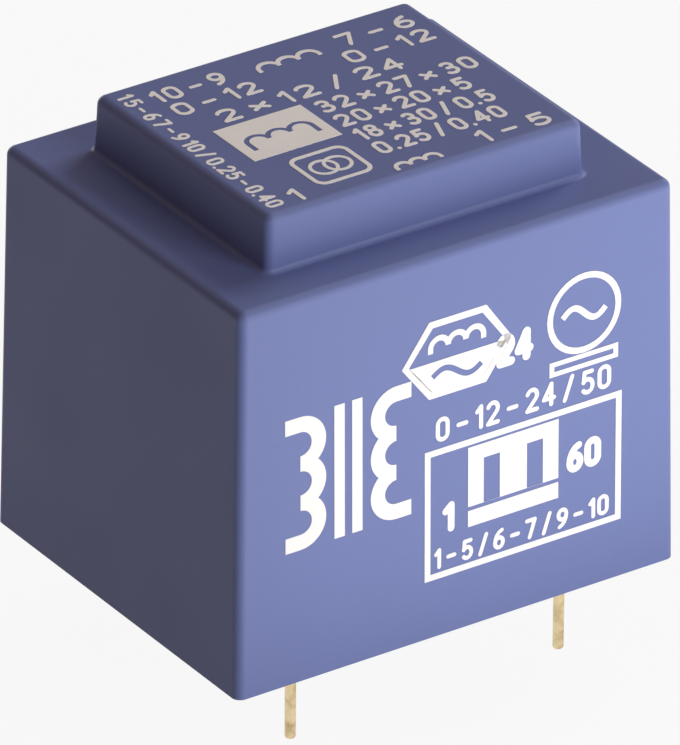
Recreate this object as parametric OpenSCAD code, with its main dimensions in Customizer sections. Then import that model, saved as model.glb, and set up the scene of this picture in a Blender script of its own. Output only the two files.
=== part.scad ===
// Encapsulated transformer for printed circuit boards, with a laminated EI core.
// The board's face is at z = 0, where the housing's rim stands. The coil's axis lies along Y,
// the primary's pins are on the -Y side and the secondaries' pins on the +Y side.
// All sizes are in millimetres and all angles in degrees.

/* [Core] */
// Width of the core's centre leg
leg_w = 10; // [9:0.5:12]
// Width of the core's outer legs and of its yokes
limb_w = 5; // [4.5:0.25:6]
// Width of each window, across the coil
window_w = 5; // [4.5:0.25:6]
// Length of each window, along the coil
window_l = 15; // [14:0.5:17]
// Height of the stack of sheets
stack_h = 18; // [12:0.5:23]
// Thickness of one sheet
sheet_t = 0.5; // [0.35:0.05:1]
// Oxide coat between one sheet and the next
coat_t = 0.02; // [0.01:0.01:0.05]

/* [Coil former] */
// Play between the centre leg and the former's tube
leg_play = 0.1; // [0.05:0.05:0.3]
// Wall of the tube
tube_wall = 0.8; // [0.6:0.1:1.2]
// Radius of the tube's outer corners
tube_corner_r = 0.5; // [0.3:0.1:0.6]
// Thickness of the two end flanges and of the partition between the chambers
flange_t = 0.8; // [0.6:0.1:1.2]
// Radius of the flanges' corners
flange_corner_r = 1.2; // [0.6:0.1:2]
// Play between the flanges and the outer legs
window_play = 0.2; // [0.1:0.05:0.4]
// Play between the end flanges and the yokes
end_play = 0.1; // [0.05:0.05:0.3]
// Height of the flanges' lower edges above the board
former_lift = 1.4; // [1.2:0.1:2]
// Height of the pin rails
rail_h = 3.4; // [3:0.1:3.6]
// Play between the pin rails and the underside of the stack
rail_play = 0.1; // [0.05:0.05:0.3]
// Length of a rail beyond its outer pins
rail_end = 2; // [1.2:0.1:2.6]
// Width of a rail beyond its row of pins
rail_edge = 1.9; // [1.2:0.1:2.2]
// Width of the slots that lead the wires out
slot_w = 0.9; // [0.7:0.1:1.2]

/* [Windings] */
// Diameter of the primary's lead wire
primary_wire_d = 0.25; // [0.15:0.05:0.35]
// Diameter of the secondaries' lead wire
secondary_wire_d = 0.4; // [0.25:0.05:0.45]
// Thickness of the tape round each finished coil
tape_t = 0.2; // [0.1:0.05:0.3]
// Thickness of the tape between the two secondaries
interleaf_t = 0.1; // [0.05:0.05:0.2]
// Height that the flanges stand above the taped coils
flange_lip = 0.3; // [0.1:0.05:0.5]

/* [Pins] */
// Diameter of a pin's free length
pin_d = 0.7; // [0.5:0.05:0.8]
// Width of a pin's square root, in the former and the resin
root_w = 0.8; // [0.75:0.05:0.9]
// Free length of a pin below the board's face
pin_l = 6.2; // [3:0.1:8]
// Radius of the edge round the free end
tip_r = 0.2; // [0.05:0.05:0.25]
// Depth that a root is pressed into its rail
root_depth = 2.9; // [2:0.1:3]
// Step between neighbouring pin places in a row
pin_pitch = 5; // [4.5:0.1:5.1]
// Distance between the two rows of pins
row_spacing = 20; // [19:0.1:20.4]
// Turns of lead wire round each root
wraps = 3; // [2:1:3]
// Thickness of the solder over the wraps
solder_t = 0.15; // [0.1:0.05:0.2]

/* [Housing] */
// Wall at the rim, on the two ends
end_wall = 1; // [0.8:0.05:1.5]
// Wall at the rim, on the two long sides
side_wall = 0.75; // [0.7:0.05:1.5]
// Thickness of the shoulder's and the cover's roof
roof_t = 1; // [0.7:0.1:1.5]
// Play between the top of the stack and the walls
core_play = 0.1; // [0.05:0.05:0.5]
// Room between the top of the stack and the shoulder's roof
shoulder_room = 1.2; // [0.8:0.1:2]
// Wall of the raised cover, at its top
cover_wall = 1; // [0.8:0.1:1.4]
// Room between the former and the raised cover's ends
cover_end_room = 0.75; // [0.5:0.05:1.2]
// Room between the former and the raised cover's long sides
cover_side_room = 1.15; // [0.5:0.05:1.4]
// Room between the former and the raised cover's roof
cover_top_room = 0.2; // [0.1:0.05:0.6]
// Draft of the outer walls
wall_draft = 0.86; // [0.5:0.02:1]
// Draft of the cavity
cavity_draft = 0.35; // [0.2:0.05:0.5]
// Draft of the raised cover
cover_draft = 2; // [1:0.25:3]
// Radius of the outer edges
edge_r = 0.6; // [0.3:0.05:0.9]
// Radius of the cavity's edges
cavity_r = 0.3; // [0.2:0.05:0.5]
// Radius of the fillet at the raised cover's foot
foot_r = 0.35; // [0.2:0.05:0.5]
// Depth of the resin's surface below the rim
resin_recess = 0.3; // [0.1:0.05:0.4]

/* [Hidden] */
// Core
core_w = leg_w + 2 * window_w + 2 * limb_w;
core_d = window_l + 2 * limb_w;
sheet_count = round(stack_h / sheet_t);
sheet_pitch = stack_h / sheet_count;
// Former, across the coil
tube_w = leg_w + 2 * (leg_play + tube_wall);
tube_h = stack_h + 2 * (leg_play + tube_wall);
chamber_depth = window_w - leg_play - tube_wall - window_play;
coil_build = chamber_depth - flange_lip - tape_t;
secondary_build = (coil_build - interleaf_t) / 2;
// Former, along the coil
former_l = window_l - 2 * end_play;
chamber_l = (former_l - 3 * flange_t) / 2;
front_chamber_y = flange_t - former_l / 2;
back_chamber_y = flange_t / 2;
// Heights above the board
coil_z = former_lift + chamber_depth + tube_h / 2;
former_top = coil_z + tube_h / 2 + chamber_depth;
stack_z = coil_z - stack_h / 2;
stack_top = coil_z + stack_h / 2;
rail_top = stack_z - rail_play;
rail_z = rail_top - rail_h;
shoulder_z = stack_top + shoulder_room + roof_t;
cover_z = former_top + cover_top_room + roof_t;
// Pins: the places run from 1 to 5 along the front row and from 6 to 10 back along the other
places_per_row = 5;
primary_places = [1, 5];
secondary_a_places = [6, 7];
secondary_b_places = [9, 10];
fitted_places = concat(primary_places, secondary_a_places, secondary_b_places);
root_top = rail_z + root_depth;
root_corner_r = root_w / sqrt(2);
row_y = row_spacing / 2;
outer_pin_x = pin_pitch * (places_per_row - 1) / 2;
// Leads: where they leave the coil, as a share of their pin's place, how they sit in the coil,
// in their slots and on the roots, and how far from a root's corners its slot stops
lead_share = 0.5;
lead_bite = 0.6;
lead_rise = 0.7;
slot_room = 0.15;
slot_stop = 0.5;
wrap_play = 0.02;
wrap_bite = 0.02;
solder_clear = 0.1;
solder_foot = 0.3;
// Housing: sizes at the rim, and of the raised cover at its top
body_w = core_w + 2 * (core_play + stack_top * tan(cavity_draft) + end_wall);
body_d = core_d + 2 * (core_play + stack_top * tan(cavity_draft) + side_wall);
cover_w = tube_w + 2 * (chamber_depth + cover_end_room + cover_wall);
cover_d = former_l + 2 * (cover_side_room + cover_wall);
// Cutters reach this far past the faces that they cut
past = 1;
// Facets of a full circle, and of the small corners inside a hull
$fn = 48;
corner_fine = 32;

// Places of the pins and of the wires that reach them

function is_front(place) = place <= places_per_row;
function pin_x(place) = is_front(place)
    ? (place - 1) * pin_pitch - outer_pin_x
    : outer_pin_x - (place - places_per_row - 1) * pin_pitch;
function pin_y(place) = is_front(place) ? -row_y : row_y;
function is_in(place, places) = len([for (p = places) if (p == place) p]) > 0;

// The turns of a lead round its root bite a little into each other, and stand off the root
function wire_d(place) = is_front(place) ? primary_wire_d : secondary_wire_d;
function wraps_h(place) = wraps * (wire_d(place) - wrap_bite) + wrap_bite;
function wraps_z(place) = rail_z - solder_clear - solder_t - wraps_h(place);
function wraps_r(place) = root_corner_r + wrap_play + wire_d(place) / 2;

// A lead starts inside its coil, above the coil's underside, and ends in the middle of its turns
function lead_build(place) = is_in(place, secondary_a_places) ? secondary_build : coil_build;
function lead_from(place) = [
    pin_x(place) * lead_share,
    sign(pin_y(place)) * (former_l / 2 - flange_t - lead_bite),
    coil_z - tube_h / 2 - lead_build(place) + lead_rise
];
function lead_to(place) = [pin_x(place), pin_y(place), wraps_z(place) + wraps_h(place) / 2];

// Shared shapes

// A rectangle whose corners are true arcs
module rounded_rect(w, h, r) {
    square([w - 2 * r, h], center = true);
    square([w, h - 2 * r], center = true);
    for (x = [-1, 1], y = [-1, 1])
        translate([x * (w / 2 - r), y * (h / 2 - r)]) circle(r);
}

// Extrudes an outline round the coil's axis, from y to y + l
module along_coil(y, l) {
    translate([0, y + l, coil_z]) rotate([90, 0, 0]) linear_extrude(l) children();
}

// The coil's outline, at a height above the tube
module coil_outline(build) {
    rounded_rect(tube_w + 2 * build, tube_h + 2 * build, tube_corner_r + build);
}

// A layer that fills one chamber from end to end
module coil_layer(chamber_y, inner, outer) {
    along_coil(chamber_y, chamber_l)
        difference() {
            coil_outline(outer);
            coil_outline(inner);
        }
}

// A straight rod from one point to another
module rod(from, to, d) {
    way = to - from;
    translate(from)
        rotate([0, atan2(norm([way.x, way.y]), way.z), atan2(way.y, way.x)])
            cylinder(h = norm(way), d = d);
}

// A block that narrows upwards by its draft, with rounded standing edges and a rounded top
module drafted_block(w, d, h, draft, r) {
    lean = tan(draft);
    top_in = lean * (h - r) + r * sqrt(1 + lean * lean);
    hull()
        for (x = [-1, 1], y = [-1, 1]) {
            translate([x * (w / 2 - r), y * (d / 2 - r), 0])
                cylinder(h = r / 100, r = r, $fn = corner_fine);
            translate([x * (w / 2 - top_in), y * (d / 2 - top_in), h - r])
                rotate_extrude($fn = corner_fine)
                    intersection() {
                        circle(r);
                        square(r);
                    }
        }
}

// Housing

// The space inside the housing, open below. The stack's own room and the coil's room over it
// have the same draft as the walls that they leave.
module cavity() {
    stack_in = core_play + (stack_top + past) * tan(cavity_draft);
    translate([0, 0, -past])
        drafted_block(
            core_w + 2 * stack_in, core_d + 2 * stack_in,
            shoulder_z - roof_t + past, cavity_draft, cavity_r
        );
    cover_rise = cover_z - roof_t - stack_top;
    cover_in = cover_rise * tan(cover_draft) - cover_wall;
    translate([0, 0, stack_top])
        drafted_block(cover_w + 2 * cover_in, cover_d + 2 * cover_in, cover_rise, cover_draft, cavity_r);
}

// Section of the concave fillet, with its straight sides sunk into the two walls that it joins
module foot_section() {
    difference() {
        translate([-foot_r / 2, -foot_r / 2]) square(1.5 * foot_r);
        translate([foot_r, foot_r]) circle(foot_r);
    }
}

// The fillet round a foot of w by d whose standing edges have radius r
module foot_fillet(w, d, r) {
    for (turn = [0 : 3]) {
        across = turn % 2 == 0 ? w : d;
        away = turn % 2 == 0 ? d : w;
        rotate(90 * turn) {
            translate([r - across / 2, away / 2, 0])
                rotate([90, 0, 90]) linear_extrude(across - 2 * r) foot_section();
            translate([across / 2 - r, away / 2 - r, 0])
                rotate_extrude(angle = 90) translate([r, 0]) foot_section();
        }
    }
}

module housing() {
    cover_h = cover_z - shoulder_z;
    cover_sunk = roof_t / 2;
    foot_out = 2 * cover_h * tan(cover_draft);
    base_out = 2 * (cover_h + cover_sunk) * tan(cover_draft);
    color([0.36, 0.40, 0.62])
        difference() {
            union() {
                drafted_block(body_w, body_d, shoulder_z, wall_draft, edge_r);
                translate([0, 0, shoulder_z - cover_sunk])
                    drafted_block(cover_w + base_out, cover_d + base_out, cover_h + cover_sunk, cover_draft, edge_r);
                translate([0, 0, shoulder_z]) foot_fillet(cover_w + foot_out, cover_d + foot_out, edge_r);
            }
            cavity();
        }
}

// Resin: all that the cup holds between the other pieces
module potting_resin() {
    color([0.10, 0.12, 0.20])
        difference() {
            cavity();
            translate([-body_w, -body_d, resin_recess - 2 * body_w]) cube([2 * body_w, 2 * body_d, 2 * body_w]);
            core_envelope();
            bobbin();
            for (y = [front_chamber_y, back_chamber_y]) coil_layer(y, 0, coil_build + tape_t);
            for (place = fitted_places) {
                pin(place);
                at_pin(place) rotate_extrude() solder_section(place);
                lead_rod(place);
            }
        }
}

// Core

module core_envelope() {
    difference() {
        translate([-core_w / 2, -core_d / 2, stack_z]) cube([core_w, core_d, stack_h]);
        for (x = [-1, 1])
            translate([x * (leg_w + window_w) / 2 - window_w / 2, -window_l / 2, stack_z - past])
                cube([window_w, window_l, stack_h + 2 * past]);
    }
}

// Every second sheet is turned round, so that the next layer bridges each joint
module sheets() {
    for (i = [0 : sheet_count - 1])
        translate([0, 0, stack_z + i * sheet_pitch])
            rotate(180 * (i % 2)) linear_extrude(sheet_pitch - coat_t) children();
}

module e_laminations() {
    color([0.55, 0.56, 0.58])
        sheets()
            difference() {
                translate([-core_w / 2, -core_d / 2]) square([core_w, core_d - limb_w]);
                for (x = [-1, 1])
                    translate([x * (leg_w + window_w) / 2 - window_w / 2, -window_l / 2])
                        square([window_w, window_l + past]);
            }
}

module i_laminations() {
    color([0.48, 0.49, 0.52])
        sheets()
            translate([-core_w / 2, core_d / 2 - limb_w]) square([core_w, limb_w]);
}

// Coil former

module flange(y) {
    along_coil(y, flange_t)
        rounded_rect(tube_w + 2 * chamber_depth, tube_h + 2 * chamber_depth, flange_corner_r);
}

module pin_rail(side) {
    inner = former_l / 2 - flange_t;
    width = row_y + rail_edge - inner;
    length = 2 * (outer_pin_x + rail_end);
    translate([-length / 2, side > 0 ? inner : -inner - width, rail_z]) cube([length, width, rail_h]);
}

// Open below, because the wire is laid in from there
module wire_slot(place) {
    from = lead_from(place);
    way = lead_to(place) - from;
    reach = norm([way.x, way.y]) - root_corner_r - slot_stop;
    translate([from.x, from.y, 0])
        rotate(atan2(way.y, way.x))
            translate([0, -slot_w / 2, 0]) cube([reach, slot_w, from.z + wire_d(place) / 2 + slot_room]);
}

module bobbin() {
    color([0.13, 0.13, 0.14])
        difference() {
            union() {
                along_coil(-former_l / 2, former_l) coil_outline(0);
                for (y = [-former_l / 2, -flange_t / 2, former_l / 2 - flange_t]) flange(y);
                for (side = [-1, 1]) pin_rail(side);
            }
            along_coil(-former_l / 2 - past, former_l + 2 * past)
                square([leg_w + 2 * leg_play, stack_h + 2 * leg_play], center = true);
            for (place = fitted_places) {
                wire_slot(place);
                root(place, rail_z - past);
            }
        }
}

// Windings, each with the leads of its two places

module winding(chamber_y, inner, outer, places) {
    color([0.72, 0.36, 0.16]) {
        coil_layer(chamber_y, inner, outer);
        for (place = places) {
            lead_rod(place);
            at_pin(place) rotate_extrude() wraps_section(place);
        }
    }
}

// The lead ends in the middle of the turns, on their centre line
module lead_rod(place) {
    way = lead_to(place) - lead_from(place);
    back = wraps_r(place) / norm([way.x, way.y]);
    rod(lead_from(place), lead_to(place) - back * way, wire_d(place));
}

module wraps_section(place) {
    d = wire_d(place);
    for (turn = [0 : wraps - 1])
        translate([wraps_r(place), wraps_z(place) + d / 2 + turn * (d - wrap_bite)]) circle(d = d);
}

module primary_winding() {
    winding(front_chamber_y, 0, coil_build, primary_places);
}

module secondary_winding_a() {
    winding(back_chamber_y, 0, secondary_build, secondary_a_places);
}

module secondary_winding_b() {
    winding(back_chamber_y, secondary_build + interleaf_t, coil_build, secondary_b_places);
}

// Insulating tape

module primary_tape() {
    color([0.93, 0.79, 0.30]) coil_layer(front_chamber_y, coil_build, coil_build + tape_t);
}

module secondary_interleaf() {
    color([0.93, 0.79, 0.30]) coil_layer(back_chamber_y, secondary_build, secondary_build + interleaf_t);
}

module secondary_tape() {
    color([0.93, 0.79, 0.30]) coil_layer(back_chamber_y, coil_build, coil_build + tape_t);
}

// Pins and their solder

module at_pin(place) {
    translate([pin_x(place), pin_y(place), 0]) children();
}

// The square root, from a height up to its seat in the rail
module root(place, from_z) {
    at_pin(place)
        translate([-root_w / 2, -root_w / 2, from_z]) cube([root_w, root_w, root_top - from_z]);
}

// A root that can't turn in the former, a round free length, and an end with a rounded edge
module pin(place) {
    color([0.80, 0.66, 0.36]) {
        root(place, resin_recess);
        at_pin(place)
            rotate_extrude() {
                translate([0, tip_r - pin_l]) square([pin_d / 2, pin_l - tip_r + resin_recess]);
                translate([0, -pin_l]) square([pin_d / 2 - tip_r, tip_r]);
                intersection() {
                    translate([pin_d / 2 - tip_r, tip_r - pin_l]) circle(tip_r);
                    translate([0, -pin_l]) square([pin_d / 2, tip_r]);
                }
            }
    }
}

// A bead that covers the wraps and runs out down the root
module solder_section(place) {
    bead = wraps_r(place) + wire_d(place) / 2 + solder_t;
    low = wraps_z(place);
    high = low + wraps_h(place);
    polygon([
        [0, low - solder_foot],
        [root_corner_r + solder_t, low - solder_foot],
        [bead, low],
        [bead, high],
        [bead - solder_t, high + solder_t],
        [0, high + solder_t]
    ]);
}

module solder(place) {
    color([0.76, 0.77, 0.78])
        difference() {
            at_pin(place)
                rotate_extrude()
                    difference() {
                        solder_section(place);
                        wraps_section(place);
                    }
            root(place, resin_recess);
            lead_rod(place);
        }
}

housing();
potting_resin();
e_laminations();
i_laminations();
bobbin();
primary_winding();
primary_tape();
secondary_winding_a();
secondary_interleaf();
secondary_winding_b();
secondary_tape();
pin(1);  // primary_pin_1
pin(5);  // primary_pin_5
pin(6);  // secondary_pin_6
pin(7);  // secondary_pin_7
pin(9);  // secondary_pin_9
pin(10);  // secondary_pin_10
solder(1);  // solder_1
solder(5);  // solder_5
solder(6);  // solder_6
solder(7);  // solder_7
solder(9);  // solder_9
solder(10);  // solder_10
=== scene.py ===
import math

import bmesh
import bpy
from mathutils import Matrix, Vector
from mathutils.geometry import delaunay_2d_cdt


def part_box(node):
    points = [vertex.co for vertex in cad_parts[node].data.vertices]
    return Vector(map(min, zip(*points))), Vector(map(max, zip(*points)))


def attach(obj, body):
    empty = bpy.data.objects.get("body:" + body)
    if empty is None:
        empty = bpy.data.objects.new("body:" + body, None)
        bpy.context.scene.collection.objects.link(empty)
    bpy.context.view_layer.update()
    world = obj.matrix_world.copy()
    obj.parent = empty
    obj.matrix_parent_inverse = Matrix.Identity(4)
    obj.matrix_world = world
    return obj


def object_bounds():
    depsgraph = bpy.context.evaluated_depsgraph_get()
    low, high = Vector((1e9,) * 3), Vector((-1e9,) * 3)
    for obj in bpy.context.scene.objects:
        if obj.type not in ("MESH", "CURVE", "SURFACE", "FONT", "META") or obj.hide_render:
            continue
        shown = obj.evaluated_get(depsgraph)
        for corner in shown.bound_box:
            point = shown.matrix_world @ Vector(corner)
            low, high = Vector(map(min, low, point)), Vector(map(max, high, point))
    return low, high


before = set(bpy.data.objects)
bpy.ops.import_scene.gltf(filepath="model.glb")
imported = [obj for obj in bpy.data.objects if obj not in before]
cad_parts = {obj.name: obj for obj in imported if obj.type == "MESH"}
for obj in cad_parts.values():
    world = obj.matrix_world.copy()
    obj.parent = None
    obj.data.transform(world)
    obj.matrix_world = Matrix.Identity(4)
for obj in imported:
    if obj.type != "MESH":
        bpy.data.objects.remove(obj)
cad_bounds = [list(corner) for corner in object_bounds()]
scene = bpy.context.scene
scene.view_settings.view_transform = "Standard"
mm = 0.001


# Camera: a long lens that looks down on the left end and the long front. Its aim lies a little
# off the part's middle, and it is turned by half a degree.
look_at = Vector((0, 0, 13.2 * mm))
azimuth, elevation, roll = math.radians(-34.25), math.radians(28.907), math.radians(0.474)
distance = 855.64 * mm
aside, above = -0.224 * mm, 1.3 * mm
back = Vector((
    math.sin(azimuth) * math.cos(elevation),
    -math.cos(azimuth) * math.cos(elevation),
    math.sin(elevation),
))
level = Vector((0, 0, 1)).cross(back).normalized()
upright = back.cross(level)
right = math.cos(roll) * level + math.sin(roll) * upright
up = math.cos(roll) * upright - math.sin(roll) * level
stand = look_at + back * distance - right * aside - up * above

camera = bpy.data.objects.new("camera", bpy.data.cameras.new("camera"))
camera.data.sensor_width = 36
camera.data.lens = 672.1
camera.data.clip_start, camera.data.clip_end = 10 * mm, 20
camera.matrix_world = Matrix.Translation(stand) @ Matrix((right, up, back)).transposed().to_4x4()
scene.collection.objects.link(camera)
scene.camera = camera


# Table top: a wide pale sheet under the pins' tips. The eye and glossy faces see it lifted
# towards white, with the part's shadow kept, and from below it can be looked through.
class Nodes:
    """A node tree that is filled by calls: each adds one node, sets it and links it."""

    def __init__(self, tree):
        self.tree = tree

    def __call__(self, kind, *inputs, **settings):
        """Adds a node. Inputs go to its sockets in turn, or by name; the rest are its own settings."""
        node = self.tree.nodes.new(kind)
        for key in [k for k in settings if hasattr(node, k)]:
            setattr(node, key, settings.pop(key))
        sockets = dict(enumerate(inputs))
        sockets.update({key.replace("_", " "): value for key, value in settings.items()})
        for key, value in sockets.items():
            if value is None:
                continue
            if isinstance(value, bpy.types.Node):
                value = value.outputs[0]
            if isinstance(value, bpy.types.NodeSocket):
                self.tree.links.new(value, node.inputs[key])
            else:
                node.inputs[key].default_value = value
        return node


def material(name):
    """An empty node material and the call that fills it."""
    made = bpy.data.materials.new(name)
    made.use_nodes = True
    made.node_tree.nodes.clear()
    return made, Nodes(made.node_tree)


floor_half = 2.0
floor_grey = (0.50, 0.50, 0.51, 1)
floor_lift = 0.92
pale_table, add = material("pale_table")
matt = add("ShaderNodeBsdfDiffuse", Color=floor_grey)
lifted = add("ShaderNodeMixShader", floor_lift, matt, add("ShaderNodeEmission", (1, 1, 1, 1), 1.0))
ray = add("ShaderNodeLightPath").outputs
eye_or_gloss = add("ShaderNodeMath", ray["Is Camera Ray"], ray["Is Glossy Ray"], operation="MAXIMUM")
seen = add("ShaderNodeMath", eye_or_gloss, ray["Is Transmission Ray"], operation="MAXIMUM")
from_above = add("ShaderNodeMixShader", seen, matt, lifted)
under = add("ShaderNodeNewGeometry").outputs["Backfacing"]
add(
    "ShaderNodeOutputMaterial",
    add("ShaderNodeMixShader", under, from_above, add("ShaderNodeBsdfTransparent")),
)

table_z = cad_bounds[0][2]
corners = [(x * floor_half, y * floor_half, table_z) for x, y in ((-1, -1), (1, -1), (1, 1), (-1, 1))]
sheet = bpy.data.meshes.new("table_top")
sheet.from_pydata(corners, [], [(0, 1, 2, 3)])
sheet.materials.append(pale_table)
table_top = bpy.data.objects.new("table_top", sheet)
scene.collection.objects.link(table_top)


# Studio light: a softbox in front, a bright card lying before the part, a softbox high on the
# right, a weak lamp for the far side, and a dim warm room that looks white to the eye.
def lamp(name, direction, far, size, light_level):
    """A square lamp that lights a face turned to it at that level: at 1 a colour shows as written."""
    light = bpy.data.lights.new(name, "AREA")
    light.size = size
    light.energy = light_level * (math.pi * far) ** 2
    toward = Vector(direction).normalized()
    made = bpy.data.objects.new(name, light)
    turned = toward.to_track_quat("Z", "Y").to_matrix().to_4x4()
    made.matrix_world = Matrix.Translation(look_at + toward * far) @ turned
    scene.collection.objects.link(made)
    return made


lamp("front_softbox", (0.20, -0.92, 0.34), 0.9, 0.5, 0.60)
lamp("right_softbox", (0.80, 0.20, 0.60), 0.9, 0.45, 0.45)
lamp("far_softbox", (0.05, 1.0, 0.06), 0.9, 0.4, 0.35)

card_w, card_d, card_gap, card_lift, card_level = 0.26, 0.16, 0.012, 0.5 * mm, 0.6
card = bpy.data.lights.new("front_card", "AREA")
card.shape, card.size, card.size_y = "RECTANGLE", card_w, card_d
card.energy = card_level * math.pi ** 2 * card_w * card_d
low_card = bpy.data.objects.new("front_card", card)
part_left, part_front = cad_bounds[0][0], cad_bounds[0][1]
low_card.matrix_world = Matrix.Translation(
    (part_left + card_w / 2, part_front - card_gap - card_d / 2, table_z + card_lift)
) @ Matrix.Rotation(math.pi, 4, "X")
low_card.visible_camera = False
scene.collection.objects.link(low_card)

room = bpy.data.worlds.new("room")
room.use_nodes = True
room.node_tree.nodes.clear()
add = Nodes(room.node_tree)
dim_warm = add("ShaderNodeBackground", (0.17, 0.11, 0.085, 1), 1.0)
plain_white = add("ShaderNodeBackground", (1, 1, 1, 1), 1.0)
eye = add("ShaderNodeLightPath").outputs["Is Camera Ray"]
add("ShaderNodeOutputWorld", add("ShaderNodeMixShader", eye, dim_warm, plain_white))
scene.world = room


# Core: thirty-six layers of silicon steel sheet, each an E and an I, stamped and turned about.
# The sheets have a blue-grey oxide coat, mottled by the annealing, with faint rolling marks.
def node_group(name, inputs, outputs):
    """A shader group, with inputs given as (name, kind, value) and outputs as (name, kind)."""
    tree = bpy.data.node_groups.new(name, "ShaderNodeTree")
    for label, kind, value in inputs:
        socket = tree.interface.new_socket(label, in_out="INPUT", socket_type="NodeSocket" + kind)
        if value is not None:
            socket.default_value = value
    for label, kind in outputs:
        tree.interface.new_socket(label, in_out="OUTPUT", socket_type="NodeSocket" + kind)
    return tree, Nodes(tree)


def in_group(add, tree, *inputs):
    """Places a group in a material."""
    return add("ShaderNodeGroup", *inputs, node_tree=tree).outputs


def dress(material, *names):
    """Puts a material on all slots of CAD nodes."""
    for name in names:
        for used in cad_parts[name].material_slots:
            used.material = material


# Blotches and streaks: a broad cloud of tone, and fine lines along one way
streaked, add = node_group(
    "streaked",
    [("Stretch", "Vector", (1000, 1000, 1000)), ("Cloud", "Float", 0.4)],
    [("Tone", "Float"), ("Line", "Float")],
)
inner = add("NodeGroupInput").outputs
at = add("ShaderNodeTexCoord").outputs["Object"]
along = add("ShaderNodeVectorMath", at, inner["Stretch"], operation="MULTIPLY")
line = add("ShaderNodeTexNoise", along, Scale=1.0, Detail=3.0, Roughness=0.6)
in_mm = add("ShaderNodeVectorMath", at, (1 / mm,) * 3, operation="MULTIPLY")
cloud = add("ShaderNodeTexNoise", in_mm, Scale=inner["Cloud"], Detail=4.0, Roughness=0.55)
add("NodeGroupOutput", cloud.outputs["Fac"], line.outputs["Fac"])

steel, add = material("coated_steel")
out = in_group(add, streaked, (0.4 / mm, 9 / mm, 9 / mm), 0.3)
colour = add("ShaderNodeMixRGB", out["Tone"], (0.30, 0.32, 0.36, 1), (0.50, 0.51, 0.53, 1))
rough = add("ShaderNodeMapRange", out["Line"], 0.3, 0.7, 0.32, 0.5)
relief = add("ShaderNodeBump", Strength=0.3, Distance=0.01 * mm, Height=out["Line"])
body = add("ShaderNodeBsdfPrincipled", Base_Color=colour, Roughness=rough, Metallic=1.0, Normal=relief)
add("ShaderNodeOutputMaterial", body)
dress(steel, "e_laminations", "i_laminations")


# Coil former: one moulding in black glass-filled nylon, with two chambers and a rail for the pins
# under each end. The skin shows the mould's fine grain and faint clouds where the melt flowed.
moulded, add = node_group(
    "moulded_skin",
    [("Grain", "Float", 9.0), ("Cloud", "Float", 0.25)],
    [("Tone", "Float"), ("Height", "Float")],
)
inner = add("NodeGroupInput").outputs
at = add("ShaderNodeTexCoord").outputs["Object"]
in_mm = add("ShaderNodeVectorMath", at, (1 / mm,) * 3, operation="MULTIPLY")
cloud = add("ShaderNodeTexNoise", in_mm, Scale=inner["Cloud"], Detail=3.0, Roughness=0.5)
fleck = add("ShaderNodeTexNoise", in_mm, Scale=3.5, Detail=3.0, Roughness=0.6)
tone = add("ShaderNodeMixRGB", 0.45, cloud.outputs["Fac"], fleck.outputs["Fac"])
grain = add("ShaderNodeTexNoise", in_mm, Scale=inner["Grain"], Detail=3.0, Roughness=0.7)
add("NodeGroupOutput", tone, grain.outputs["Fac"])

nylon, add = material("black_nylon")
out = in_group(add, moulded, 7.0, 0.3)
colour = add("ShaderNodeMixRGB", out["Tone"], (0.012, 0.012, 0.013, 1), (0.030, 0.030, 0.032, 1))
rough = add("ShaderNodeMapRange", out["Tone"], 0.3, 0.7, 0.48, 0.6)
relief = add("ShaderNodeBump", Strength=0.5, Distance=0.02 * mm, Height=out["Height"])
body = add("ShaderNodeBsdfPrincipled", Base_Color=colour, Roughness=rough, Normal=relief)
add("ShaderNodeOutputMaterial", body)
dress(nylon, "bobbin")


# Windings: enamelled copper wire, laid turn by turn along each chamber. The primary is of thin
# wire, and the two secondaries share a chamber and are of thicker wire.
def enamelled(name, wire):
    """Copper under clear enamel, ridged by turns that lie side by side along the coil, with painted
    shade darkening the grooves between turns.
    """
    made, add = material(name)
    at = add("ShaderNodeSeparateXYZ", add("ShaderNodeTexCoord").outputs["Object"])
    turns = add("ShaderNodeMath", at.outputs["Y"], math.pi / (wire * mm), operation="MULTIPLY")
    ridge = add("ShaderNodeMath", add("ShaderNodeMath", turns, operation="SINE"), operation="ABSOLUTE")
    out = in_group(add, streaked, (6 / mm, 6 / mm, 6 / mm), 0.8)
    lit = add("ShaderNodeMixRGB", out["Tone"], (0.50, 0.16, 0.05, 1), (0.80, 0.36, 0.14, 1))
    # Painted shade: the copper colour is darkened to about a third in the grooves between turns, where
    # shade falls.
    painted_groove_shade = add("ShaderNodeMapRange", ridge, 0.0, 0.5, 0.35, 1.0)
    colour = add("ShaderNodeMixRGB", 1.0, lit, painted_groove_shade, blend_type="MULTIPLY")
    relief = add("ShaderNodeBump", Strength=0.8, Distance=wire * mm / 2, Height=ridge)
    body = add(
        "ShaderNodeBsdfPrincipled", Base_Color=colour, Roughness=0.3, Metallic=1.0, Normal=relief,
        Coat_Weight=0.5, Coat_Roughness=0.08,
    )
    add("ShaderNodeOutputMaterial", body)
    return made


dress(enamelled("primary_copper", 0.12), "primary_winding")
dress(enamelled("secondary_copper", 0.3), "secondary_winding_a", "secondary_winding_b")


# Insulating tape: yellow polyester film, wound tight round each finished coil and between the
# two secondaries. It is smooth and glossy, with fine creases across its width.
tape, add = material("polyester_tape")
out = in_group(add, streaked, (4 / mm, 0.25 / mm, 4 / mm), 0.35)
colour = add("ShaderNodeMixRGB", out["Tone"], (0.72, 0.50, 0.06, 1), (0.90, 0.72, 0.16, 1))
rough = add("ShaderNodeMapRange", out["Line"], 0.3, 0.7, 0.14, 0.3)
relief = add("ShaderNodeBump", Strength=0.6, Distance=0.03 * mm, Height=out["Line"])
body = add("ShaderNodeBsdfPrincipled", Base_Color=colour, Roughness=rough, Normal=relief)
add("ShaderNodeOutputMaterial", body)
dress(tape, "primary_tape", "secondary_interleaf", "secondary_tape")


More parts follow.
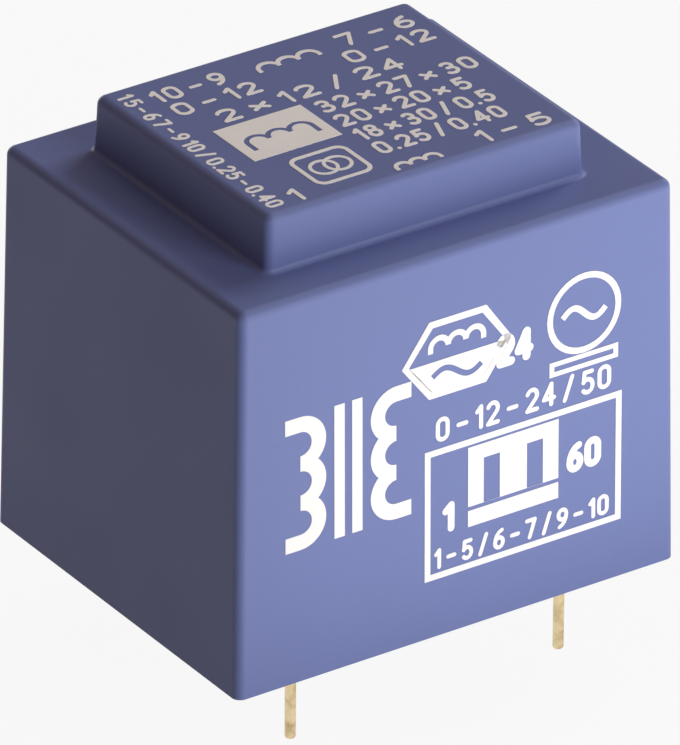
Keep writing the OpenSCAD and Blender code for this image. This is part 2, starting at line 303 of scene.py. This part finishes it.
# Pins: hard-drawn brass wire, squared where it is pressed into the rails. Drawing leaves fine
# lines along the pin, and handling a thin brown tarnish in patches.
brass, add = material("drawn_brass")
out = in_group(add, streaked, (14 / mm, 14 / mm, 0.35 / mm), 1.1)
patch = add("ShaderNodeMapRange", out["Tone"], 0.42, 0.68, 0.0, 1.0)
clean = add("ShaderNodeMixRGB", out["Line"], (0.66, 0.50, 0.27, 1), (0.92, 0.78, 0.50, 1))
colour = add("ShaderNodeMixRGB", patch, clean, (0.50, 0.36, 0.18, 1))
rough = add("ShaderNodeMapRange", out["Line"], 0.3, 0.7, 0.18, 0.38)
relief = add("ShaderNodeBump", Strength=0.5, Distance=0.01 * mm, Height=out["Line"])
body = add("ShaderNodeBsdfPrincipled", Base_Color=colour, Roughness=rough, Metallic=1.0, Normal=relief)
add("ShaderNodeOutputMaterial", body)
pins = [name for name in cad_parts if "_pin_" in name]
dress(brass, *pins)


# Solder: a bead of tin over the wire's turns on each pin's root, left by a dip in the bath.
# It set with a frosted, faintly lumpy skin.
tin, add = material("frosted_solder")
out = in_group(add, streaked, (5 / mm, 5 / mm, 5 / mm), 1.6)
colour = add("ShaderNodeMixRGB", out["Tone"], (0.52, 0.53, 0.55, 1), (0.78, 0.79, 0.80, 1))
rough = add("ShaderNodeMapRange", out["Tone"], 0.35, 0.65, 0.22, 0.5)
relief = add("ShaderNodeBump", Strength=0.4, Distance=0.02 * mm, Height=out["Line"])
body = add("ShaderNodeBsdfPrincipled", Base_Color=colour, Roughness=rough, Metallic=1.0, Normal=relief)
add("ShaderNodeOutputMaterial", body)
dress(tin, *[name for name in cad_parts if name.startswith("solder_")])


# Housing: one moulding in blue-violet glass-filled polyester, a cup with a raised cover over the
# coil. Its skin is satin, with the mould's fine grain and faint clouds in the colour.
plastic, add = material("housing_plastic")
out = in_group(add, moulded, 8.0, 0.12)
colour = add("ShaderNodeMixRGB", out["Tone"], (0.124, 0.160, 0.365, 1), (0.146, 0.188, 0.425, 1))
rough = add("ShaderNodeMapRange", out["Tone"], 0.3, 0.7, 0.46, 0.56)
relief = add("ShaderNodeBump", Strength=0.25, Distance=0.012 * mm, Height=out["Height"])
body = add(
    "ShaderNodeBsdfPrincipled", Base_Color=colour, Roughness=rough, Normal=relief,
    Specular_IOR_Level=0.35,
)
add("ShaderNodeOutputMaterial", body)
dress(plastic, "housing")


# Potting resin: dark epoxy, poured in from below round the core and set hard. Its face lies a
# little inside the rim, smooth and glossy, with slow ripples and the pits of small bubbles.
epoxy, add = material("potting_epoxy")
at = add("ShaderNodeTexCoord").outputs["Object"]
in_mm = add("ShaderNodeVectorMath", at, (1 / mm,) * 3, operation="MULTIPLY")
ripple = add("ShaderNodeTexNoise", in_mm, Scale=0.22, Detail=2.0, Roughness=0.4)
cell = add("ShaderNodeTexVoronoi", in_mm, Scale=0.45)
pit = add("ShaderNodeMapRange", cell.outputs["Distance"], 0.02, 0.10, 0.0, 1.0)
slow = ripple.outputs["Fac"]
height = add("ShaderNodeMath", slow, add("ShaderNodeMath", pit, 0.12, operation="MULTIPLY"))
colour = add("ShaderNodeMixRGB", slow, (0.016, 0.018, 0.032, 1), (0.030, 0.034, 0.056, 1))
relief = add("ShaderNodeBump", Strength=0.7, Distance=0.25 * mm, Height=height)
body = add("ShaderNodeBsdfPrincipled", Base_Color=colour, Roughness=0.16, Normal=relief)
add("ShaderNodeOutputMaterial", body)
dress(epoxy, "potting_resin")


# Print: white two-part ink, pressed on from a pad in a thin raised film, on the front and on the
# cover. It shows the windings' symbols, plain figures for the pins and sizes, and simple shapes.
white_ink, add = material("white_ink")
out = in_group(add, moulded, 12.0, 0.5)
colour = add("ShaderNodeMixRGB", out["Tone"], (0.84, 0.84, 0.83, 1), (0.93, 0.93, 0.92, 1))
rough = add("ShaderNodeMapRange", out["Tone"], 0.3, 0.7, 0.5, 0.62)
relief = add("ShaderNodeBump", Strength=0.3, Distance=0.01 * mm, Height=out["Height"])
body = add(
    "ShaderNodeBsdfPrincipled", Base_Color=colour, Roughness=rough, Normal=relief,
    Specular_IOR_Level=0.35,
)
add("ShaderNodeOutputMaterial", body)

ink_t = 0.025
ink_sunk = 0.01
wall_draft = math.radians(0.86)
housing_low, housing_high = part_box("housing")


def arc(x, y, r, start, end):
    """Points along an arc, in degrees, with a step of about ten."""
    steps = max(2, round(abs(end - start) / 10))
    turns = [math.radians(start + (end - start) * i / steps) for i in range(steps + 1)]
    return [(x + r * math.cos(a), y + r * math.sin(a)) for a in turns]


def bow(x, y, r, width, start, end):
    """The outline of a band that follows an arc."""
    return arc(x, y, r + width / 2, start, end) + arc(x, y, r - width / 2, end, start)


def bar(x, y, w, h):
    """The outline of an upright bar about its middle."""
    a, b = w / 2, h / 2
    return [(x - a, y - b), (x + a, y - b), (x + a, y + b), (x - a, y + b)]


def rounded(x, y, w, h, r):
    """The outline of a block with round corners about its middle."""
    a, b = w / 2 - r, h / 2 - r
    return (
        arc(x + a, y + b, r, 0, 90) + arc(x - a, y + b, r, 90, 180)
        + arc(x - a, y - b, r, 180, 270) + arc(x + a, y - b, r, 270, 360)
    )


def wave(x, y, length, rise, width):
    """The outline of one sine wave of even thickness."""
    steps = 24
    top, bottom = [], []
    for i in range(steps + 1):
        phase = 2 * math.pi * i / steps
        at_x, at_y = x + length * (i / steps - 0.5), y + rise * math.sin(phase)
        slope = rise * 2 * math.pi / length * math.cos(phase)
        lean = math.hypot(1, slope)
        off_x, off_y = -slope / lean * width / 2, width / 2 / lean
        top.append((at_x + off_x, at_y + off_y))
        bottom.append((at_x - off_x, at_y - off_y))
    return top + bottom[::-1]


def coil(x, y, humps, pitch, width, turn, lead=0.0):
    """Outlines of a coil's symbol: a row of half rings from (x, y), and a lead at each end.

    The row is turned by that many degrees, and its rings bulge to its left.
    """
    parts = [bow(pitch * (i + 0.5), 0, pitch / 2, width, 0, 180) for i in range(humps)]
    if lead:
        parts += [bar(end, -lead / 2, width, lead) for end in (0, humps * pitch)]
    c, s = math.cos(math.radians(turn)), math.sin(math.radians(turn))
    return [[(x + c * u - s * v, y + s * u + c * v) for u, v in part] for part in parts]


def lay(film, adds, cuts=()):
    """Joins outlines into one shape, takes others out of it, and lays it on a flat film.

    The triangulation only fills outlines that run anticlockwise, so the others are turned round.
    """
    outlines = list(adds) + list(cuts)
    points, loops = [], []
    for outline in outlines:
        if sum(a[0] * b[1] - b[0] * a[1] for a, b in zip(outline, outline[1:] + outline[:1])) < 0:
            outline = outline[::-1]
        loops.append(range(len(points), len(points) + len(outline)))
        points += [Vector(p) for p in outline]
    loops = [list(loop) for loop in loops]
    at, _, faces, _, _, sources = delaunay_2d_cdt(points, [], loops, 0, 1e-5)
    spots = [film.verts.new((*p, 0)) for p in at]
    for face, source in zip(faces, sources):
        if source and max(source) < len(adds):
            film.faces.new([spots[i] for i in face])
    bmesh.ops.delete(film, geom=[spot for spot in spots if not spot.link_faces], context="VERTS")


def pen(path, line):
    """The outline of a pen's stroke along a path, with ends rounded by every third point of an arc."""
    at = [Vector(p) for p in path]
    ways = [(b - a).normalized() for a, b in zip(at, at[1:])]
    left, right = [], []
    for i, p in enumerate(at):
        way = (ways[max(i - 1, 0)] + ways[min(i, len(ways) - 1)]).normalized()
        side = Vector((-way.y, way.x)) * line / 2
        left.append(tuple(p + side))
        right.append(tuple(p - side))
    first, last = (math.degrees(math.atan2(way.y, way.x)) for way in (ways[0], ways[-1]))
    return (
        right + arc(*at[-1], line / 2, last - 90, last + 90)[2:-2:3]
        + left[::-1] + arc(*at[0], line / 2, first + 90, first + 270)[2:-2:3]
    )


def oval(x, y, a, b, start, end):
    """Points along a part of an oval, in degrees."""
    return [(x + a * u, y + b * v) for u, v in arc(0, 0, 1, start, end)[::2]]


# The pen's paths for each figure, one unit high and half a unit wide
SIX = [
    oval(0.25, 0.29, 0.25, 0.29, 0, 180), oval(0.25, 0.29, 0.25, 0.29, 180, 360),
    oval(0.52, 0.3, 0.52, 0.7, 180, 100),
]
EIGHT_LOOPS = ((0.77, 0.21, 0.23), (0.27, 0.25, 0.27))
FIGURES = {
    "0": [
        [(0, 0.5)] + oval(0.25, 0.75, 0.25, 0.25, 180, 0) + [(0.5, 0.5)],
        [(0.5, 0.5)] + oval(0.25, 0.25, 0.25, 0.25, 360, 180) + [(0, 0.5)],
    ],
    "1": [[(0.2, 0), (0.2, 1)], [(0.2, 1), (0, 0.78)]],
    "2": [oval(0.25, 0.72, 0.25, 0.28, 160, -40) + [(0, 0)], [(0, 0), (0.5, 0)]],
    "3": [oval(0.24, 0.76, 0.22, 0.24, 140, -100), oval(0.24, 0.27, 0.26, 0.27, 100, -140)],
    "4": [[(0.38, 0), (0.38, 1)], [(0.38, 1), (0, 0.3)], [(0, 0.3), (0.52, 0.3)]],
    "5": [
        [(0.46, 1), (0.08, 1)], [(0.08, 1), (0.04, 0.52)],
        oval(0.23, 0.32, 0.27, 0.32, 140, -140),
    ],
    "6": SIX,
    "7": [[(0, 1), (0.5, 1)], [(0.5, 1), (0.17, 0)]],
    "8": [oval(0.25, y, a, b, t, t + 180) for y, a, b in EIGHT_LOOPS for t in (0, 180)],
    "9": [[(0.5 - u, 1 - v) for u, v in stroke] for stroke in SIX],
    "-": [[(0, 0.45), (0.4, 0.45)]],
    "/": [[(0, -0.05), (0.38, 1.05)]],
    ".": [[(0, 0), (0.01, 0)]],
    "x": [[(0, 0.2), (0.45, 0.65)], [(0, 0.65), (0.45, 0.2)]],
}


word_space, figure_gap = 0.2, 0.36


def row(figures, x, y, height, line, width, turn=0):
    """Strokes of a row of figures, from its lower left corner, with that height, line and width."""
    strokes, length = [], 0
    for figure in figures:
        if figure == " ":
            length += word_space
            continue
        strokes += [[(length + u, v) for u, v in stroke] for stroke in FIGURES[figure]]
        length += max(u for stroke in FIGURES[figure] for u, v in stroke) + figure_gap
    wide, tall = (width - line) / (length - figure_gap), height - line
    c, s = math.cos(math.radians(turn)), math.sin(math.radians(turn))
    outlines = []
    for stroke in strokes:
        flat = [(line / 2 + u * wide, line / 2 + v * tall) for u, v in stroke]
        outlines.append(pen([(x + c * u - s * v, y + s * u + c * v) for u, v in flat], line))
    return outlines


def press(film, name, origin, across, upward):
    """Gives a film the ink's thickness on a face of the housing."""
    bmesh.ops.remove_doubles(film, verts=film.verts, dist=1e-4)
    bmesh.ops.recalc_face_normals(film, faces=film.faces)
    for face in film.faces:
        if face.normal.z < 0:
            face.normal_flip()
    raised = bmesh.ops.extrude_face_region(film, geom=film.faces[:], use_keep_orig=True)
    for spot in raised["geom"]:
        if isinstance(spot, bmesh.types.BMVert):
            spot.co.z = ink_t
    for spot in film.verts:
        if spot.co.z == 0:
            spot.co.z = -ink_sunk
    bmesh.ops.recalc_face_normals(film, faces=film.faces)
    mesh = bpy.data.meshes.new(name)
    film.to_mesh(mesh)
    film.free()
    across, upward = Vector(across).normalized(), Vector(upward).normalized()
    turned = Matrix((across, upward, across.cross(upward))).transposed().to_4x4()
    mesh.transform(Matrix.Translation(origin) @ turned @ Matrix.Scale(mm, 4))
    mesh.materials.append(white_ink)
    made = bpy.data.objects.new(name, mesh)
    scene.collection.objects.link(made)
    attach(made, "root")
    return made


# On the front: a transformer's symbol in bold lines, two emblems, figures and a frame. All places
# are in millimetres from the middle of the face's lower edge.
film = bmesh.new()
humps, pitch, bold, lead, symbol_y, core_bar_w = 3, 2.7, 1.05, 1.1, 13.7, 0.75
half_coil = humps * pitch / 2
lay(film, coil(-11.6, symbol_y + half_coil, humps, pitch, bold, -90, lead))
lay(film, coil(-4.6, symbol_y - half_coil, humps, pitch, bold, 90, lead))
lay(film, [bar(x, symbol_y, core_bar_w, humps * pitch + bold) for x in (-8.75, -7.45)])

# The hexagon, with its lower half filled and a wave cut out of that
hexagon_x, hexagon_y, open_w, open_h = -0.15, 19.23, 0.87, 0.83
hexagon = [(-4.2, 19.2), (-2.2, 21.9), (2.0, 21.9), (3.9, 19.2), (2.0, 16.6), (-2.2, 16.6)]
opening = [
    (hexagon_x + (x - hexagon_x) * open_w, hexagon_y + (y - hexagon_y) * open_h) for x, y in hexagon
]
lay(film, [hexagon], [opening])
filled_half = [(-3.66, 19.1), (-2.03, 17.05), (1.8, 17.05), (3.4, 19.1)]
lay(film, [filled_half], [wave(hexagon_x, 18.05, 3.6, 0.42, 0.4)])
lay(film, coil(-2.1, 20.0, humps, 1.3, 0.38, 0, 0.3))
lay(film, row("24", 2.75, 17.2, 2.3, 0.6, 2.75))

# The circle with a wave in it, on a flat base
circle_x, circle_y, circle_r, thin = 9.25, 19.2, 2.75, 0.42
lay(
    film, [arc(circle_x, circle_y, circle_r, 0, 350)],
    [arc(circle_x, circle_y, circle_r - thin, 0, 350)],
)
lay(film, [wave(circle_x, circle_y, 3.2, 0.5, thin)])
lay(film, [bar(circle_x, 15.9, 5.1, 1.0)], [bar(circle_x, 15.9, 4.4, 0.36)])
lay(film, row("0 - 12 - 24 / 50", -1.7, 13.45, 1.7, 0.3, 13.0))

# The frame round the core's outline, which has two windows and a joint
frame_x, frame_y, frame_w, frame_h = 4.8, 8.5, 14.6, 9.0
lay(
    film, [bar(frame_x, frame_y, frame_w, frame_h)],
    [bar(frame_x, frame_y, frame_w - 2 * thin, frame_h - 2 * thin)],
)
core_x, window_x = 4.05, 1.6
windows = [bar(core_x + side * window_x, 9.85, 1.2, 3.1) for side in (-1, 1)]
joint = bar(core_x, 8.15, 6.8, 0.28)
lay(film, [bar(core_x, 9.65, 6.7, 5.5)], windows + [joint])
lay(film, row("1", -1.2, 7.0, 2.1, 0.5, 0.9) + row("60", 8.0, 8.3, 2.1, 0.5, 2.6))
lay(film, row("1 - 5 / 6 - 7 / 9 - 10", -1.8, 4.65, 1.45, 0.28, 13.0))
wall_up = (0, math.sin(wall_draft), math.cos(wall_draft))
press(film, "front_print", (0, housing_low.y, 0), (1, 0, 0), wall_up)

# On the cover: rows of plain figures, coils, a filled panel with a coil cut out of it, and an
# emblem of two rings. Each row is its figures, its lower left corner and its width.
film = bmesh.new()
cap, cap_line = 1.6, 0.28
for figures, x, y, width in (
    ("10 - 9", -8.9, 6.3, 5.3),
    ("7 - 6", 4.8, 6.3, 5.4),
    ("0 - 12", -8.7, 4.2, 6.1),
    ("0 - 12", 3.9, 4.2, 6.3),
    ("2 x 12 / 24", -6.9, 2.0, 13.4),
    ("32 x 27 x 30", -1.2, -0.3, 11.6),
    ("20 x 20 x 5", -1.2, -2.4, 9.7),
    ("18 x 30 / 0.5", -1.2, -4.5, 10.0),
    ("0.25 / 0.40", -1.2, -6.6, 9.4),
    ("1 - 5", 4.8, -8.8, 5.2),
    ("1", -8.9, -8.8, 0.7),
):
    lay(film, row(figures, x, y, cap, cap_line, width))
lay(film, coil(-1.4, 6.5, humps, 1.45, 0.3, 0, 0.2))
lay(film, coil(-1.5, -8.6, humps, 1.05, cap_line, 0, 0.2))
lay(film, [bar(-5.0, -0.8, 6.4, 4.6)], coil(-7.3, -1.1, humps, 1.55, 0.34, 0, 0.9))
emblem_x, emblem_y, rings_apart, ring_r, ring_line = -4.6, -6.0, 1.0, 0.85, 0.24
lay(
    film, [rounded(emblem_x, emblem_y, 4.2, 3.9, 0.8)],
    [rounded(emblem_x, emblem_y, 3.6, 3.3, 0.5)],
)
lay(film, [
    bow(emblem_x + side * rings_apart / 2, emblem_y, ring_r, ring_line, start, start + 180)
    for side in (-1, 1) for start in (0, 180)
])
lay(film, row("1 5 - 6 7 - 9 10 / 0.25 - 0.40", -10.8, 8.4, 1.2, 0.22, 17.0, -90))
press(film, "cover_print", (0, 0, housing_high.z), (1, 0, 0), (0, 1, 0))
